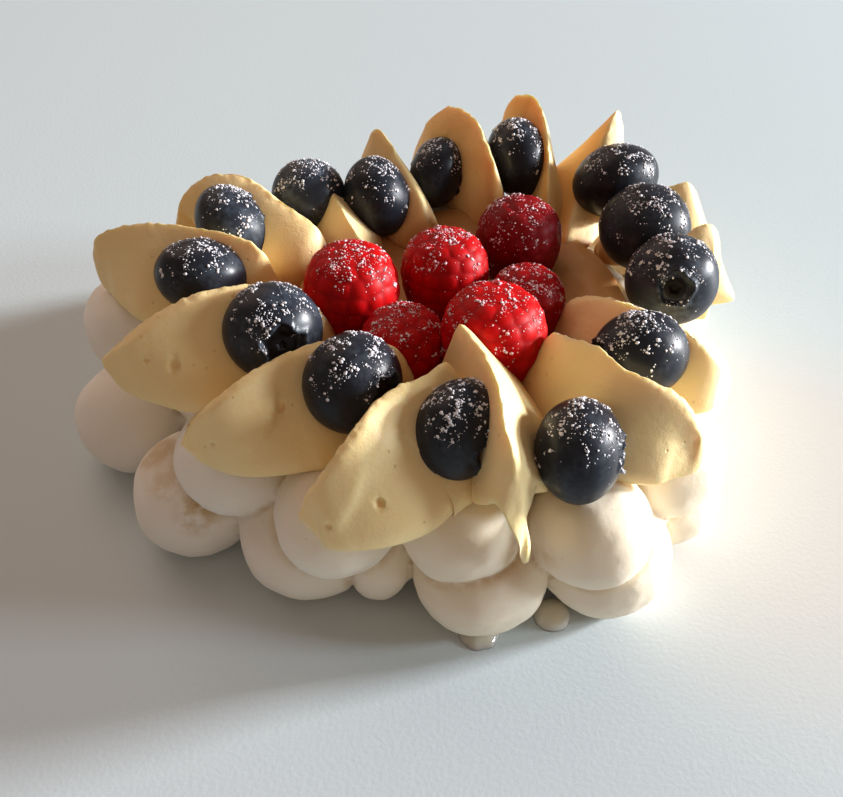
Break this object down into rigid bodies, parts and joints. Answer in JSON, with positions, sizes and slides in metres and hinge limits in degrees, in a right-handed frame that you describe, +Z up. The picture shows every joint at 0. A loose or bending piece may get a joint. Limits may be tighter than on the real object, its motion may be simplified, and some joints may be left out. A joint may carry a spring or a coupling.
{
  "type": "pavlova",
  "caption": "Pavlova: a two-tiered meringue of piped blobs, a ring of piped cream petals with a blueberry in each valley, and raspberries in the middle.",
  "frame": {"origin": "middle of the whole pavlova's box, on the flat underside of the meringue", "axes": "+Z up from the table through the fruit, +X along the pavlova's longer side towards the right of the picture, +Y away from the camera"},
  "size_m": [0.1247, 0.1108, 0.0488],
  "materials": {
    "meringue": "dry, chalky baked meringue with fine pores",
    "cream": "soft satin whipped cream with small bubbles",
    "blueberry": "dark skin with a thin waxy bloom and sugar on it",
    "raspberry": "moist, satin drupelets with sugar on them",
    "syrup": "wet, glossy and see-through"
  },
  "bodies": {
    "root": {"meringue": "meringue", "cream_bed": "cream", "cream_petal_01": "cream", "cream_petal_02": "cream", "cream_petal_03": "cream", "cream_petal_04": "cream", "cream_petal_05": "cream", "cream_petal_06": "cream", "cream_petal_07": "cream", "cream_petal_08": "cream", "cream_petal_09": "cream", "cream_petal_10": "cream", "cream_petal_11": "cream", "cream_petal_12": "cream", "cream_petal_13": "cream", "cream_petal_14": "cream", "cream_petal_15": "cream", "blueberry_01": "blueberry", "blueberry_02": "blueberry", "blueberry_03": "blueberry", "blueberry_04": "blueberry", "blueberry_05": "blueberry", "blueberry_06": "blueberry", "blueberry_07": "blueberry", "blueberry_08": "blueberry", "blueberry_09": "blueberry", "blueberry_10": "blueberry", "blueberry_11": "blueberry", "blueberry_12": "blueberry", "blueberry_13": "blueberry", "blueberry_14": "blueberry", "raspberry_01": "raspberry", "raspberry_02": "raspberry", "raspberry_03": "raspberry", "raspberry_04": "raspberry", "raspberry_05": "raspberry", "raspberry_06": "raspberry", "syrup_bead_01": "syrup", "syrup_bead_02": "syrup"}
  },
  "joints": []
}
